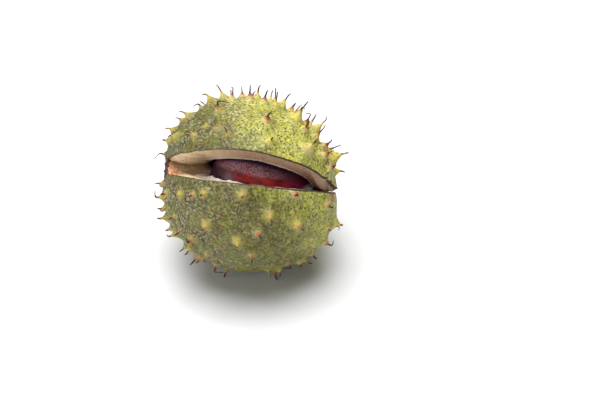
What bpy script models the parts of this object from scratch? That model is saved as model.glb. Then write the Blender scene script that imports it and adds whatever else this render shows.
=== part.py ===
# A horse chestnut in its spiny husk, lying on its side, split open along one seam.
# The husk is a ball of three valves round an axis from stalk to apex. The upper valve
# has lifted at the apex end, and the seed shows in the gap between it and the lower one.
# Metres, +Z up. The husk rests on the blunted spines under it, at z = 0.
import math
import random

import bmesh
import bpy
from mathutils import Matrix, Vector

MM = 0.001

# The ball: its radius, the space left under it, and how its axis lies.
BALL_RADIUS = 28.2 * MM
BELLY_CLEARANCE = 1.4 * MM
APEX_HEADING = math.radians(189)
APEX_TILT = math.radians(77)
SEAM_ROLL = math.radians(128.4)
BALL_DETAIL = 4

# Where the ball is fuller or flatter than round: a place in degrees to the right of the
# middle and degrees up from the front, how far it spreads in degrees, and by how much.
SWELLS = (
    ((38, 130), 45, -2.8 * MM),
    ((-53, 130), 22, 1.8 * MM),
    ((55, -50), 30, 1.5 * MM),
    ((-72, -50), 20, -0.8 * MM),
)
STALK_SPREAD = 22
STALK_DENT = -0.8 * MM

# The seams, as azimuths round the axis from the front seam, upwards positive.
VALVE_ARC = 120
SEAM_GAP = 0.35 * MM
FRONT_OPENING = 18.5
FRONT_LIFT = 11.3
BACK_OPENING = 2
BACK_LIFT = 4
FRONT_SEAM_RISE = 0.45 * MM
RIM_SNAP = 0.6 * MM

# The hollow, longer across the axis than along it, and nearer to the stalk end.
HOLLOW_ACROSS = 20.6 * MM
HOLLOW_ALONG = 17.5 * MM
HOLLOW_SHIFT = 2.6 * MM
HOLLOW_DETAIL = 4

# The seed, which lies on the lower side of the hollow.
SEED_ACROSS = 18.0 * MM
SEED_ALONG = 15.9 * MM
SEED_CLEARANCE = 0.5 * MM
SEED_DETAIL = 4

# A spine: a broad base, a shoulder part of the way up, and a point.
BASE_RADIUS = 1.4 * MM
SHOULDER_WIDTH = 0.5
SHOULDER_HEIGHT = 0.42
FOOT_SHOULDER_WIDTH = 0.72
FOOT_OVERREACH = 1.6

# Where a spine grows and where it points, in the same degrees to the right and up, then
# how far its tip stands beyond the round ball, in millimetres.
UPPER_SPINES = (
    ((-24, 120), (-27, 121), 4.5),
    ((-16, 117), (-18, 118), 5.5),
    ((-12, 110), (-11, 113), 3.4),
    ((-5, 119), (-5, 120), 3.4),
    ((-19, 96), (-18, 98), 4.0),
    ((-39, 108), (-42, 109), 5.0),
    ((-32, 122), (-33, 122), 2.8),
    ((-46, 122), (-48, 122), 4.0),
    ((-53, 114), (-56, 116), 4.4),
    ((-59, 103), (-61, 104), 3.6),
    ((-51, 94), (-54, 95), 3.2),
    ((-36, 80), (-38, 82), 3.2),
    ((-29, 87), (-29, 87), 1.6),
    ((-20, 80), (-20, 81), 2.4),
    ((-13, 73), (-13, 74), 3.0),
    ((0, 113), (0, 115), 4.0),
    ((4, 122), (5, 122), 3.6),
    ((9, 112), (10, 114), 3.0),
    ((13, 121), (13, 121), 2.8),
    ((17, 112), (16, 114), 3.3),
    ((21, 120), (23, 120), 3.5),
    ((29, 108), (31, 109), 2.8),
    ((31, 97), (30, 98), 4.5),
    ((38, 90), (36, 89), 3.6),
    ((39, 100), (37, 99), 4.2),
    ((47, 104), (47, 105), 5.0),
    ((47, 89), (45, 89), 5.0),
    ((55, 86), (53, 84), 4.0),
    ((64, 83), (66, 86), 5.6),
    ((54, 71), (54, 73), 4.5),
    ((62, 62), (60, 61), 3.0),
    ((11, 85), (12, 84), 4.0),
    ((14, 68), (14, 68), 2.6),
    ((39, 68), (38, 70), 5.0),
)
LOWER_SPINES = (
    ((-74, 40), (-77, 42), 2.6),
    ((-63, 27), (-62, 27), 3.0),
    ((-73, 10), (-75, 10), 3.0),
    ((-66, -1), (-68, -1), 3.2),
    ((-55, 2), (-54, 3), 3.0),
    ((-65, -20), (-67, -20), 3.8),
    ((-60, -38), (-61, -38), 2.8),
    ((-54, -27), (-55, -27), 3.4),
    ((-49, -11), (-48, -10), 3.2),
    ((-26, 11), (-26, 10), 4.0),
    ((-6, 3), (-6, 2), 4.0),
    ((-3, 33), (-3, 32), 3.4),
    ((-37, 31), (-36, 31), 2.2),
    ((-47, 30), (-47, 30), 2.8),
    ((-28, 33), (-28, 32), 2.6),
    ((-46, -42), (-46, -42), 3.0),
    ((-40, -26), (-40, -27), 3.4),
    ((-32, -31), (-33, -32), 3.0),
    ((-27, -18), (-27, -18), 3.5),
    ((-22, -33), (-21, -31), 3.5),
    ((-38, -9), (-38, -8), 3.0),
    ((30, 33), (29, 32), 3.5),
    ((58, 14), (56, 15), 3.5),
    ((13, 20), (13, 18), 4.0),
    ((30, 11), (31, 9), 4.5),
    ((56, -18), (55, -17), 2.6),
    ((65, -42), (66, -42), 4.0),
    ((62, -26), (62, -25), 4.0),
    ((6, 9), (7, 8), 4.0),
    ((2, -8), (2, -10), 4.0),
    ((51, -41), (53, -42), 4.6),
    ((41, -42), (41, -43), 3.6),
    ((32, -40), (31, -41), 2.8),
    ((24, -32), (25, -31), 3.0),
    ((18, -44), (18, -44), 2.8),
    ((11, -35), (12, -36), 2.8),
)
# The spines that the husk rests on, blunted where they meet the surface.
LOWER_FEET = ((-16, -68), (14, -66))
BACK_FEET = ((-18, -112), (14, -112), (27, -98), (-28, -84))
# The turned-away side is filled by rule, at an even spacing.
FILL_COUNT = 150
FILL_START = 126
FILL_END = 308
FILL_SPACING = 6.2 * MM
FOOT_SPACING = 7.5 * MM
SEAM_SPACING = 2.6 * MM
STALK_SPACING = 5.5 * MM
FILL_LENGTHS = (3.0, 4.8)
FILL_JITTER = 2
FILL_SEED = 4

BALL_CENTRE = Vector((0, 0, BALL_RADIUS + BELLY_CLEARANCE))
HUSK_TURN = (
    Matrix.Rotation(APEX_HEADING, 3, "Z")
    @ Matrix.Rotation(APEX_TILT, 3, "Y")
    @ Matrix.Rotation(SEAM_ROLL, 3, "Z")
)
APEX_DIRECTION = HUSK_TURN @ Vector((0, 0, 1))


def direction(side, rise):
    """The direction from the ball's centre for degrees to the right and degrees up."""
    side, rise = math.radians(side), math.radians(rise)
    return Vector((
        math.sin(side),
        -math.cos(side) * math.cos(rise),
        math.cos(side) * math.sin(rise),
    ))


def skin_radius(outward):
    """How far the ball's skin is from its centre in a direction."""
    radius = BALL_RADIUS
    swells = [(direction(*place), spread, height) for place, spread, height in SWELLS]
    swells.append((-APEX_DIRECTION, STALK_SPREAD, STALK_DENT))
    for place, spread, height in swells:
        radius += height * math.exp(-(math.degrees(outward.angle(place)) / spread) ** 2)
    return radius


def seam_normal(azimuth, lift=0):
    """The normal of a seam's plane, towards greater azimuths; lift opens it at the apex."""
    azimuth, lift = math.radians(azimuth), math.radians(lift)
    return HUSK_TURN @ Vector((
        -math.sin(azimuth) * math.cos(lift),
        math.cos(azimuth) * math.cos(lift),
        -math.sin(lift),
    ))


def valve_planes():
    """For each valve, the planes that bound it: a normal into the valve, and an offset."""
    half = SEAM_GAP / 2
    rise = FRONT_SEAM_RISE
    return {
        "upper_valve": (
            (seam_normal(0), rise + half),
            (seam_normal(FRONT_OPENING, FRONT_LIFT), rise),
            (-seam_normal(VALVE_ARC), half),
            (-seam_normal(VALVE_ARC - BACK_OPENING, -BACK_LIFT), half),
        ),
        "lower_valve": (
            (-seam_normal(0), half - rise),
            (seam_normal(-VALVE_ARC), half),
        ),
        "back_valve": (
            (seam_normal(VALVE_ARC), half),
            (-seam_normal(-VALVE_ARC), half),
        ),
    }


def fill_spines(taken):
    """Roots, tips and lengths of the spines on the turned-away side, evenly spread."""
    draw = random.Random(FILL_SEED)
    planes = [seam_normal(k * VALVE_ARC) for k in range(3)]
    feet = [direction(*foot) for foot in LOWER_FEET + BACK_FEET]
    spines = []
    for i in range(FILL_COUNT):
        side = math.degrees(math.asin(1 - 2 * (i + 0.5) / FILL_COUNT))
        rise = (i * 180 * (3 - math.sqrt(5))) % 360
        side += draw.uniform(-FILL_JITTER, FILL_JITTER)
        lean = (draw.uniform(-3, 3), draw.uniform(-3, 3))
        length = draw.uniform(*FILL_LENGTHS)
        root = direction(side, rise)
        if not FILL_START < rise < FILL_END:
            continue
        if any((root - other).length * BALL_RADIUS < FILL_SPACING for other in taken):
            continue
        if any((root - foot).length * BALL_RADIUS < FOOT_SPACING for foot in feet):
            continue
        if any(abs(root @ plane) * BALL_RADIUS < SEAM_SPACING for plane in planes):
            continue
        if (root + APEX_DIRECTION).length * BALL_RADIUS < STALK_SPACING:
            continue
        if root.z < -math.cos(math.radians(24)):
            continue
        spines.append((root, direction(side + lean[0], rise + lean[1]), length * MM, False))
        taken.append(root)
    return spines


def all_spines():
    """Every spine as root and tip directions, length, and whether it is a foot."""
    spines = []
    for root, tip, length in UPPER_SPINES + LOWER_SPINES:
        spines.append((direction(*root), direction(*tip), length * MM, False))
    for root in LOWER_FEET + BACK_FEET:
        down = direction(*root)
        skin = skin_radius(down)
        reach = BALL_CENTRE.z / -down.z - skin
        length = skin + reach * FOOT_OVERREACH - BALL_RADIUS
        spines.append((down, down, length, True))
    return spines + fill_spines([root for root, _, _, _ in spines])


def inside(point, planes, margin=0.0):
    """Whether a point, measured from the ball's centre, is within a valve's planes."""
    return all(point @ normal > offset + margin for normal, offset in planes)


def move_vertex_under(bm, root, used):
    """Bring the nearest free vertex of the ball under a spine, its neighbours half-way."""
    place = root * skin_radius(root)
    free = (v for v in bm.verts if v not in used)
    vertex = min(free, key=lambda v: (v.co - place).length)
    shift = place - vertex.co
    vertex.co = place
    for edge in vertex.link_edges:
        neighbour = edge.other_vert(vertex)
        if neighbour not in used:
            outward = (neighbour.co + shift / 2).normalized()
            neighbour.co = outward * skin_radius(outward)
    used.add(vertex)
    return vertex


def grow_spine(bm, vertex, root, tip, length, foot):
    """Turn one vertex of the ball into a broad base, and pull it out to a point."""
    made = bmesh.ops.bevel(
        bm, geom=[vertex], offset=BASE_RADIUS, offset_type="OFFSET", segments=1,
        profile=0.5, affect="VERTICES", material=-1, clamp_overlap=True,
    )
    ring = set(made["verts"])
    base = next(f for f in made["faces"] if all(v in ring for v in f.verts))
    shoulder = bmesh.ops.extrude_discrete_faces(bm, faces=[base])["faces"][0]
    skin = skin_radius(root)
    top = (skin + SHOULDER_HEIGHT * (BALL_RADIUS + length - skin)) * root
    width = FOOT_SHOULDER_WIDTH if foot else SHOULDER_WIDTH
    middle = shoulder.calc_center_median()
    for v in shoulder.verts:
        v.co = top + (v.co - middle) * width
    point = bmesh.ops.poke(bm, faces=[shoulder])["verts"][0]
    point.co = (BALL_RADIUS + length) * tip


def snap_to_rims(bm, planes):
    """Bring the vertices that nearly lie on a plane onto it, so that no cut leaves slivers."""
    for normal, offset in planes:
        for v in bm.verts:
            gap = v.co @ normal - offset
            if abs(gap) < RIM_SNAP:
                v.co -= gap * normal


def cut(bm, normal, offset):
    """Keep what lies beyond a plane and close the cut with a flat face."""
    everything = bm.verts[:] + bm.edges[:] + bm.faces[:]
    made = bmesh.ops.bisect_plane(
        bm, geom=everything, dist=0.01 * MM, plane_co=normal * offset, plane_no=-normal,
        use_snap_center=True, clear_outer=True, clear_inner=False,
    )
    edges = [e for e in made["geom_cut"] if isinstance(e, bmesh.types.BMEdge)]
    bmesh.ops.holes_fill(bm, edges=edges, sides=0)


def collection(name):
    made = bpy.data.collections.new(name)
    bpy.context.scene.collection.children.link(made)
    return made


def skin(name, colour, roughness):
    """A plain material in the piece's main colour."""
    made = bpy.data.materials.new(name)
    made.use_nodes = True
    surface = made.node_tree.nodes["Principled BSDF"]
    surface.inputs["Base Color"].default_value = (*colour, 1)
    surface.inputs["Roughness"].default_value = roughness
    surface.inputs["Metallic"].default_value = 0
    return made


def new_object(name, bm, home, material=None):
    mesh = bpy.data.meshes.new(name)
    bmesh.ops.recalc_face_normals(bm, faces=bm.faces[:])
    bm.to_mesh(mesh)
    bm.free()
    mesh.shade_smooth()
    if material:
        mesh.materials.append(material)
    made = bpy.data.objects.new(name, mesh)
    home.objects.link(made)
    return made


def ellipsoid(across, along, centre, detail):
    """A closed ellipsoid about the husk's axis."""
    bm = bmesh.new()
    bmesh.ops.create_icosphere(bm, subdivisions=detail, radius=1)
    bmesh.ops.scale(bm, vec=(across, across, along), verts=bm.verts[:])
    bmesh.ops.rotate(bm, matrix=HUSK_TURN, verts=bm.verts[:])
    bmesh.ops.translate(bm, vec=centre, verts=bm.verts[:])
    return bm


def make_valve(name, planes, spines, home, hollow, material):
    """One valve: its third of the spiny ball, cut flat at its seams and hollowed."""
    bm = bmesh.new()
    bmesh.ops.create_icosphere(bm, subdivisions=BALL_DETAIL, radius=1)
    for v in bm.verts:
        v.co = v.co.normalized() * skin_radius(v.co)
    own = [s for s in spines if inside(s[0] * BALL_RADIUS, planes)]
    used = set()
    vertices = [move_vertex_under(bm, spine[0], used) for spine in own]
    for vertex, spine in zip(vertices, own):
        grow_spine(bm, vertex, *spine)
    snap_to_rims(bm, planes)
    for normal, offset in planes:
        cut(bm, normal, offset)
    cut(bm, Vector((0, 0, 1)), -BALL_CENTRE.z)
    bmesh.ops.translate(bm, vec=BALL_CENTRE, verts=bm.verts[:])
    valve = new_object(name, bm, home, material)
    carve = valve.modifiers.new("hollow", "BOOLEAN")
    carve.operation = "DIFFERENCE"
    carve.solver = "EXACT"
    carve.object = hollow
    return valve


def make_hollow(home):
    """The cutter for the room that the seed lies in."""
    centre = BALL_CENTRE - APEX_DIRECTION * HOLLOW_SHIFT
    bm = ellipsoid(HOLLOW_ACROSS, HOLLOW_ALONG, centre, HOLLOW_DETAIL)
    hollow = new_object("hollow_cutter", bm, home)
    hollow.hide_render = True
    hollow.display_type = "WIRE"
    return hollow


def make_seed(home):
    """The seed, sunk to the lower side of the hollow."""
    drop = HOLLOW_ACROSS - SEED_ACROSS - SEED_CLEARANCE
    centre = BALL_CENTRE - APEX_DIRECTION * HOLLOW_SHIFT - Vector((0, 0, drop))
    bm = ellipsoid(SEED_ACROSS, SEED_ALONG, centre, SEED_DETAIL)
    return new_object("seed", bm, home, skin("seed_coat", (0.09, 0.018, 0.015), 0.25))


def centre_on_origin(objects, cutters):
    """Move everything sideways so that the husk's box is centred on the origin."""
    corners = [v.co for made in objects for v in made.data.vertices]
    middle = [(min(c[k] for c in corners) + max(c[k] for c in corners)) / 2 for k in (0, 1)]
    for made in objects + cutters:
        made.data.transform(Matrix.Translation((-middle[0], -middle[1], 0)))


def build():
    for old in list(bpy.data.objects):
        bpy.data.objects.remove(old, do_unlink=True)
    home = collection("horse_chestnut")
    cutter_home = collection("cutters")
    hollow = make_hollow(cutter_home)
    colours = {
        "upper_valve": (0.36, 0.33, 0.09),
        "lower_valve": (0.22, 0.21, 0.07),
        "back_valve": (0.27, 0.25, 0.08),
    }
    spines = all_spines()
    made = []
    for name, planes in valve_planes().items():
        material = skin(name + "_skin", colours[name], 0.8)
        made.append(make_valve(name, planes, spines, home, hollow, material))
    made.append(make_seed(home))
    centre_on_origin(made, [hollow])


build()
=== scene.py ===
import math
import random

import bmesh
import bpy
import numpy as np
from mathutils import Matrix, Vector, noise


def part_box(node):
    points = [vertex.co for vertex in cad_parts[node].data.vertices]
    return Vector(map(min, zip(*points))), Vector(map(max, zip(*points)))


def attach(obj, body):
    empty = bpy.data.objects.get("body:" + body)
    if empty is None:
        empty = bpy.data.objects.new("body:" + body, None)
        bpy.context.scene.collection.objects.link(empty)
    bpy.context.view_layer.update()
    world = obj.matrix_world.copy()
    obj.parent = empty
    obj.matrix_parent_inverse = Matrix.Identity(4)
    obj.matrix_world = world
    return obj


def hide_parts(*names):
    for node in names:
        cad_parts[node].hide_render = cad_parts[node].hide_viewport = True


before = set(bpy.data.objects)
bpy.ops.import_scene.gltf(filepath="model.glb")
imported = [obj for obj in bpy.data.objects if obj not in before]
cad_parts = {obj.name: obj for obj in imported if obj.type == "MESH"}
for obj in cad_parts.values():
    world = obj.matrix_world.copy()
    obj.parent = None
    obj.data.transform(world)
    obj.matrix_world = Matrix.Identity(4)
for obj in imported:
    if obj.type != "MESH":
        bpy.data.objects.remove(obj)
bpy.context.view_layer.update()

MM = 0.001


# How the husk lies. It is a ball of three valves round an axis from stalk to apex, and
# the seed fills most of the hollow in it, so the ball's middle is found from the seed.
BALL_RADIUS = 28.2 * MM
HOLLOW_SHIFT = 2.6 * MM
SEED_DROP = 2.1 * MM
HEADING, LEAN, ROLL = 189, 77, 128.4
husk_turn = (
    Matrix.Rotation(math.radians(HEADING), 3, "Z")
    @ Matrix.Rotation(math.radians(LEAN), 3, "Y")
    @ Matrix.Rotation(math.radians(ROLL), 3, "Z")
)
apex = husk_turn @ Vector((0, 0, 1))
seed_low, seed_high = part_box("seed")
seed_middle = (seed_low + seed_high) / 2
ball_middle = seed_middle + apex * HOLLOW_SHIFT + Vector((0, 0, SEED_DROP))


# The camera looks down on the husk from the front, and the husk stands a little left of
# the middle of the view, as on a table top.
CAMERA_RISE = 40
CAMERA_DISTANCE = 0.450
CAMERA_ASIDE = 15.7 * MM
CAMERA_BELOW = 5.0 * MM
CAMERA_LENS = 84.2
CAMERA_SENSOR = 36
camera_rise = math.radians(CAMERA_RISE)
view_up = Vector((0, math.sin(camera_rise), math.cos(camera_rise)))
towards_camera = Vector((0, -math.cos(camera_rise), math.sin(camera_rise)))
camera_data = bpy.data.cameras.new("camera")
camera_data.lens = CAMERA_LENS
camera_data.sensor_width = CAMERA_SENSOR
camera = bpy.data.objects.new("camera", camera_data)
camera.location = (
    ball_middle + towards_camera * CAMERA_DISTANCE
    + Vector((CAMERA_ASIDE, 0, 0)) - view_up * CAMERA_BELOW
)
camera.rotation_euler = (math.pi / 2 - camera_rise, 0, 0)
bpy.context.scene.collection.objects.link(camera)
bpy.context.scene.camera = camera


# The table top: plain white card, with a wide soft light above it, two soft windows at
# the left and in front, and a pale room round.
FLOOR_SIZE = 3.0
CARD_WHITE = (0.88, 0.885, 0.9, 1)
CARD_ROUGHNESS = 0.6
CARD_SHINE = 0.2
ROOM_WHITE = (0.93, 0.96, 1.0, 1)
ROOM_STRENGTH = 0.05
bm = bmesh.new()
bmesh.ops.create_grid(bm, x_segments=1, y_segments=1, size=FLOOR_SIZE / 2)
floor_mesh = bpy.data.meshes.new("floor")
bm.to_mesh(floor_mesh)
bm.free()
floor = bpy.data.objects.new("floor", floor_mesh)
bpy.context.scene.collection.objects.link(floor)
card = bpy.data.materials.new("white_card")
card.use_nodes = True
card_surface = card.node_tree.nodes["Principled BSDF"]
card_surface.inputs["Base Color"].default_value = CARD_WHITE
card_surface.inputs["Roughness"].default_value = CARD_ROUGHNESS
card_surface.inputs["Specular IOR Level"].default_value = CARD_SHINE
floor_mesh.materials.append(card)


def soft_light(name, place, aim, size, power):
    """A square soft light that faces a point."""
    data = bpy.data.lights.new(name, "AREA")
    data.shape = "SQUARE"
    data.size = size
    data.energy = power
    light = bpy.data.objects.new(name, data)
    light.location = place
    light.rotation_euler = (Vector(place) - Vector(aim)).to_track_quat("Z", "Y").to_euler()
    bpy.context.scene.collection.objects.link(light)


soft_light("overhead", place=(-0.05, 0.03, 0.75), aim=(0, 0, 0.02), size=0.62, power=9.0)
soft_light("left_window", place=(-0.72, -0.16, 0.14), aim=(0, 0, 0.03), size=0.4, power=1.95)
soft_light("front_window", place=(-0.34, -0.78, 0.10), aim=(0, 0, 0.03), size=0.5, power=2.15)
room = bpy.data.worlds.new("pale_room")
room.use_nodes = True
room.node_tree.nodes["Background"].inputs["Color"].default_value = ROOM_WHITE
room.node_tree.nodes["Background"].inputs["Strength"].default_value = ROOM_STRENGTH
bpy.context.scene.world = room
bpy.context.scene.view_settings.view_transform = "Standard"


# The upper valve, one third of the husk, lifted at the apex end. A valve is a leathery
# wall 7 to 13 mm thick: green warty skin outside, tan flesh at the seams, and a white
# lining in the hollow. It is a wedge of the ball, hollowed, remeshed evenly, then worked.
VALVE_ARC = 120
SEAM_GAP = 0.12 * MM
FRONT_OPENING, FRONT_LIFT = 18.95, 10.1
BACK_OPENING, BACK_LIFT = 0.7, 1.4
FRONT_SEAM_RISE = 0.45 * MM
HOLLOW_ACROSS = 20.6 * MM
HOLLOW_ALONG = 17.5 * MM
WALL_VOXEL = 0.32 * MM
CUT_SLACK = 0.001 * MM


def seam_normal(azimuth, lift=0):
    """The normal of a seam's plane, towards greater azimuths; lift opens it at the apex."""
    azimuth, lift = math.radians(azimuth), math.radians(lift)
    return husk_turn @ Vector((
        -math.sin(azimuth) * math.cos(lift),
        math.cos(azimuth) * math.cos(lift),
        -math.sin(lift),
    ))


def temporary(name, bm):
    """A short-lived object made from a bmesh."""
    mesh = bpy.data.meshes.new(name)
    bm.to_mesh(mesh)
    bm.free()
    made = bpy.data.objects.new(name, mesh)
    bpy.context.scene.collection.objects.link(made)
    return made


def wall_blank(planes):
    """The valve's plain wedge with its hollow, as an even mesh about the ball's middle."""
    bm = bmesh.new()
    bmesh.ops.create_icosphere(bm, subdivisions=5, radius=BALL_RADIUS)
    for normal, offset in planes:
        made = bmesh.ops.bisect_plane(
            bm, geom=bm.verts[:] + bm.edges[:] + bm.faces[:], dist=CUT_SLACK,
            plane_co=normal * offset, plane_no=-normal, clear_outer=True,
        )
        rim = [e for e in made["geom_cut"] if isinstance(e, bmesh.types.BMEdge)]
        bmesh.ops.holes_fill(bm, edges=rim, sides=0)
    wedge = temporary("wedge", bm)
    bm = bmesh.new()
    bmesh.ops.create_icosphere(bm, subdivisions=4, radius=1)
    bmesh.ops.scale(bm, vec=(HOLLOW_ACROSS, HOLLOW_ACROSS, HOLLOW_ALONG), verts=bm.verts[:])
    bmesh.ops.rotate(bm, matrix=husk_turn, verts=bm.verts[:])
    bmesh.ops.translate(bm, vec=-apex * HOLLOW_SHIFT, verts=bm.verts[:])
    core = temporary("core", bm)
    carve = wedge.modifiers.new("carve", "BOOLEAN")
    carve.operation = "DIFFERENCE"
    carve.object = core
    even = wedge.modifiers.new("even", "REMESH")
    even.mode = "VOXEL"
    even.voxel_size = WALL_VOXEL
    graph = bpy.context.evaluated_depsgraph_get()
    mesh = bpy.data.meshes.new_from_object(wedge.evaluated_get(graph))
    bpy.data.objects.remove(wedge)
    bpy.data.objects.remove(core)
    return mesh


# Where the spines grow. The CAD valves have a straight cone for each; its tip and the
# ring of points below it give the root and the tip that the grown spine keeps.
SAME_POINT = 0.01 * MM
FOOT_WIDTH = 3 * MM
POINT_RISE = 0.4 * MM


def spines_of(node):
    """Each spine of a valve: the direction of its root, its tip, and if it is a foot."""
    bm = bmesh.new()
    bm.from_mesh(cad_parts[node].data)
    bmesh.ops.remove_doubles(bm, verts=bm.verts[:], dist=SAME_POINT)
    spines = []
    feet = []
    for v in bm.verts:
        out = v.co - ball_middle
        if v.co.z < SAME_POINT:
            foot = next((f for f in feet if (f[0] - v.co).length < FOOT_WIDTH), None)
            if foot:
                foot.append(v.co.copy())
            else:
                feet.append([v.co.copy()])
            continue
        ring = [e.other_vert(v).co - ball_middle for e in v.link_edges]
        if any(out.length < w.length + POINT_RISE for w in ring):
            continue
        root = sum(ring, Vector()) / len(ring)
        spines.append((root.normalized(), out, False))
    for foot in feet:
        middle = sum(foot, Vector()) / len(foot) - ball_middle
        spines.append((middle.normalized(), middle, True))
    bm.free()
    return sorted(spines, key=lambda s: tuple(s[0]))


# How single spines have dried: the root in degrees to the right and up, how ripe from 0
# yellow to 1 black, how stout from 0 thin to 1 stout, and how far the dry point has bent
# to the right, over and out, in millimetres. The rest draw theirs at random.
DRIED = (
    ((-24, 120), 0.30, 0.9, (-0.8, 0.3, -0.3)),
    ((-16, 117), 0.45, 0.25, (-0.4, 0.0, 0.0)),
    ((-12, 110), 0.10, 0.3, (0.0, 0.0, 0.0)),
    ((-19, 96), 0.75, 0.5, (3.6, -1.8, -1.2)),
    ((-39, 108), 0.25, 0.6, (-0.5, 0.0, -0.3)),
    ((-5, 119), 0.80, 0.2, (0.0, 0.0, 0.0)),
    ((0, 113), 0.85, 0.3, (0.3, 0.0, 0.0)),
    ((4, 122), 0.60, 0.4, (0.6, 0.0, 0.0)),
    ((9, 112), 0.90, 0.4, (0.3, 0.0, 0.0)),
    ((13, 121), 0.20, 0.2, (0.2, 0.0, 0.0)),
    ((17, 112), 0.55, 0.1, (0.0, 0.0, 0.0)),
    ((21, 120), 0.60, 0.3, (0.5, 0.0, 0.0)),
    ((29, 108), 0.50, 0.0, (0.4, 0.0, 0.0)),
    ((31, 97), 0.45, 1.0, (1.2, 0.0, -0.2)),
    ((39, 100), 0.95, 0.0, (-1.3, 0.0, -1.5)),
    ((38, 90), 0.70, 0.2, (0.0, 0.0, 0.0)),
    ((47, 104), 0.35, 0.5, (-0.6, 0.8, 0.0)),
    ((47, 89), 0.70, 0.1, (0.0, 1.0, 0.0)),
    ((55, 86), 0.80, 0.4, (0.3, 1.2, -0.4)),
    ((54, 71), 0.85, 0.2, (0.6, 0.6, -0.6)),
    ((64, 83), 0.30, 1.0, (0.2, 0.3, 0.0)),
    ((62, 62), 0.95, 0.5, (0.4, 0.9, -0.5)),
    ((39, 68), 0.45, 0.9, (0.6, 0.6, 0.0)),
    ((11, 85), 0.90, 0.6, (0.9, -0.2, -1.2)),
    ((14, 68), 0.65, 0.2, (0.3, 0.0, -0.6)),
    ((-13, 73), 0.70, 0.1, (-0.6, 0.3, -0.6)),
    ((-20, 80), 0.15, 0.6, (-0.6, 0.4, -1.0)),
    ((-29, 87), 0.10, 0.6, (0.0, 0.0, -1.0)),
    ((-36, 80), 0.65, 0.2, (-0.8, 0.8, -0.8)),
    ((-26, 11), 0.55, 1.0, (-0.8, -0.6, -1.6)),
    ((-6, 3), 0.35, 0.9, (-0.3, -0.4, -1.8)),
    ((-3, 33), 0.40, 0.8, (0.0, -0.3, -1.6)),
    ((30, 33), 0.90, 0.5, (-0.6, 0.0, -1.8)),
    ((58, 14), 0.95, 0.3, (-0.8, 0.3, -1.2)),
    ((13, 20), 0.55, 0.8, (0.5, -0.8, -1.6)),
    ((30, 11), 0.65, 0.9, (1.2, -0.3, -1.8)),
    ((6, 9), 0.85, 0.5, (0.3, -0.3, -2.2)),
    ((2, -8), 0.75, 0.3, (-0.5, -0.4, -1.6)),
    ((51, -41), 0.85, 0.6, (1.2, 1.0, -0.8)),
    ((-22, -33), 0.95, 0.1, (3.0, 1.2, -1.2)),
    ((24, -32), 0.95, 0.1, (-2.6, 0.8, -1.4)),
    ((65, -42), 0.60, 1.0, (0.0, -0.4, 0.0)),
    ((-40, -26), 0.60, 0.5, (-0.4, 0.0, 0.0)),
)
KNOWN_WITHIN = math.radians(2.5)
ROOT_STEPS = 2000
RIPE_DRAW = (2.2, 1.4)
STOUT_POWER = 1.3
WRY, WRIER, WRY_SHARE = 0.4, 1.6, 0.8
FOOT_RIPE, FOOT_STOUT = 0.8, 0.4


def direction(side, rise):
    """Degrees to the right of the middle and degrees up from the front, as a direction."""
    side, rise = math.radians(side), math.radians(rise)
    return Vector((
        math.sin(side),
        -math.cos(side) * math.cos(rise),
        math.cos(side) * math.sin(rise),
    ))


def drying(root, foot):
    """Ripeness, stoutness, bend of the dry point, and random numbers kept to one spine."""
    draw = random.Random(",".join(str(round(c * ROOT_STEPS)) for c in root))
    ripe = draw.betavariate(*RIPE_DRAW)
    stout = draw.random() ** STOUT_POWER
    right = Vector((-root[1], root[0], 0)).normalized()
    over = right.cross(Vector(root))
    wry = WRY if draw.random() < WRY_SHARE else WRIER
    bend = right * draw.gauss(0, wry) + over * draw.gauss(0, wry)
    for place, known_ripe, known_stout, known_bend in DRIED:
        if Vector(root).angle(direction(*place)) < KNOWN_WITHIN:
            ripe, stout = known_ripe, known_stout
            side, rise = (math.radians(a) for a in place)
            right = Vector((
                math.cos(side), math.sin(side) * math.cos(rise), -math.sin(side) * math.sin(rise),
            ))
            over = Vector((0, math.sin(rise), math.cos(rise)))
            bend = right * known_bend[0] + over * known_bend[1] + Vector(root) * known_bend[2]
    if foot:
        ripe, stout, bend = FOOT_RIPE, FOOT_STOUT, Vector()
    return ripe, stout, bend * MM, draw


# The skin's broad swells: where in degrees, how wide in degrees, and how high.
SWELLS = (
    ((38, 130), 45, -2.8 * MM),
    ((-53, 130), 22, 1.8 * MM),
    ((55, -50), 30, 1.5 * MM),
    ((-72, -50), 20, -0.8 * MM),
)
STALK_SWELL = (22, -0.8 * MM)
SKIN_SINK = 0.35 * MM


def skin_radius(outward):
    """How far the skin is from the ball's middle, for an array of directions."""
    radius = np.full(len(outward), BALL_RADIUS)
    swells = [(direction(*place), spread, height) for place, spread, height in SWELLS]
    swells.append((-apex, *STALK_SWELL))
    for place, spread, height in swells:
        angle = np.degrees(np.arccos(np.clip(outward @ np.array(place), -1, 1)))
        radius += height * np.exp(-(angle / spread) ** 2)
    return radius


def lumps(points, size, seed):
    """Smooth random heights from -1 to 1, with lumps of the given size."""
    away = Vector((seed * 3.1, seed * 1.7, -seed * 2.3))
    return np.array([noise.noise(Vector(p) / size + away) for p in points])


# A spine's fleshy base. Its height is a share of the spine's length and its lean a share
# of the tip's. Its spread, in millimetres, grows with the length and with how stout it is.
BASE_HEIGHT, STOUT_HEIGHT, FOOT_HEIGHT = 0.56, 0.26, 0.75
BASE_SPREAD, LONG_SPREAD = 0.88, 0.14
THIN_SHARE, STOUT_SHARE = 0.82, 0.55
FOOT_SPREAD = 1.4 * MM
BASE_LEAN = 0.5


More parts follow.
